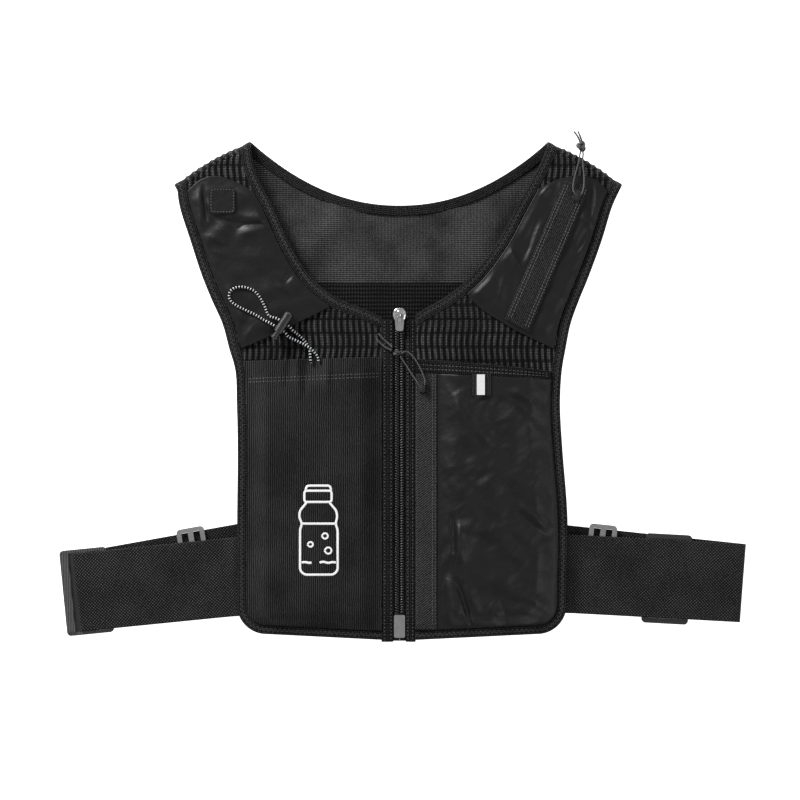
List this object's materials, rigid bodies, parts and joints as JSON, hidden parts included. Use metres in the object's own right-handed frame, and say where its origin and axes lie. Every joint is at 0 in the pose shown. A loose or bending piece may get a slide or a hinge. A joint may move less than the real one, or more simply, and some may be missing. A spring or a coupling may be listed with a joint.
{
  "type": "running hydration vest",
  "caption": "Zip-front running vest with a mesh back, satin shoulder and phone pockets, a knit flask pocket and elastic side straps.",
  "frame": {"origin": "on the floor under the middle of the vest as it lies flat on its back, cords and knots not counted", "axes": "+X to the viewer's right across the straps, +Y up the vest to the shoulders, +Z out of its front"},
  "size_m": [0.5176, 0.3841, 0.0213],
  "materials": {
    "fine_mesh": "black fine open knit mesh",
    "rib_mesh": "black ribbed spacer mesh",
    "satin": "black satin stretch weave with a soft sheen",
    "rib_knit": "black fine vertical rib knit",
    "binding": "black folded elastic tape with zigzag stitching",
    "elastic": "black woven elastic, 60 mm",
    "zip_tape": "black twill tape",
    "coil": "black nylon coil",
    "slider_metal": "bright plated metal",
    "slider_dark": "black painted metal",
    "grey_plastic": "light grey moulded plastic",
    "buckle_plastic": "dark grey moulded plastic",
    "lock_plastic": "dark grey smooth moulded plastic",
    "reflective_cord": "black round elastic cord with reflective flecks",
    "puller_cord": "black braided cord",
    "reflective_tape": "white reflective tape"
  },
  "bodies": {
    "vest": {"back_yoke": "fine_mesh", "back_lower": "rib_mesh", "front_mesh_left": "rib_mesh", "front_mesh_right": "rib_mesh", "shoulder_fold_left": "rib_mesh", "shoulder_fold_right": "rib_mesh", "shoulder_pocket_left": "satin", "shoulder_pocket_right": "satin", "phone_pocket": "satin", "shoulder_patch": "satin", "flask_pocket": "rib_knit", "binding_left": "binding", "binding_right": "binding", "binding_neck": "binding", "placket_left": "binding", "placket_right": "binding", "pocket_hem": "binding", "label_tab": "binding", "strap_left": "elastic", "strap_right": "elastic", "zip_tape_left": "zip_tape", "zip_tape_right": "zip_tape", "phone_zip_tape": "zip_tape", "shoulder_zip_tape": "zip_tape", "zip_chain": "coil", "zip_slider": "slider_metal", "phone_zip_slider": "slider_dark", "shoulder_zip_slider": "slider_dark", "zip_box": "grey_plastic", "tri_glide_left": "grey_plastic", "tri_glide_right": "grey_plastic", "buckle_left": "buckle_plastic", "buckle_right": "buckle_plastic", "cord_lock_barrel": "lock_plastic", "elastic_cord": "reflective_cord", "puller_cord_upper": "puller_cord", "puller_knot_upper": "puller_cord", "puller_cord_lower": "puller_cord", "puller_tail_1": "puller_cord", "puller_tail_2": "puller_cord", "puller_knot_lower": "puller_cord", "label_stripe": "reflective_tape"},
    "zip_pull": {"zip_pull": "slider_metal"},
    "lock_plunger": {"cord_lock_plunger": "lock_plastic"}
  },
  "joints": [
    {"name": "zip_pull_hinge", "type": "hinge", "parent": "vest", "child": "zip_pull", "pos_m": [-0.003, 0.05625, 0.01515], "axis": [-1, 0, 0], "range_deg": [0, 165]},
    {"name": "lock_plunger_slide", "type": "slide", "parent": "vest", "child": "lock_plunger", "axis": [0.5424, 0.8401, 0], "range_m": [0, 0.003], "stiffness_N_per_m": 300, "springref_m": -0.004}
  ]
}
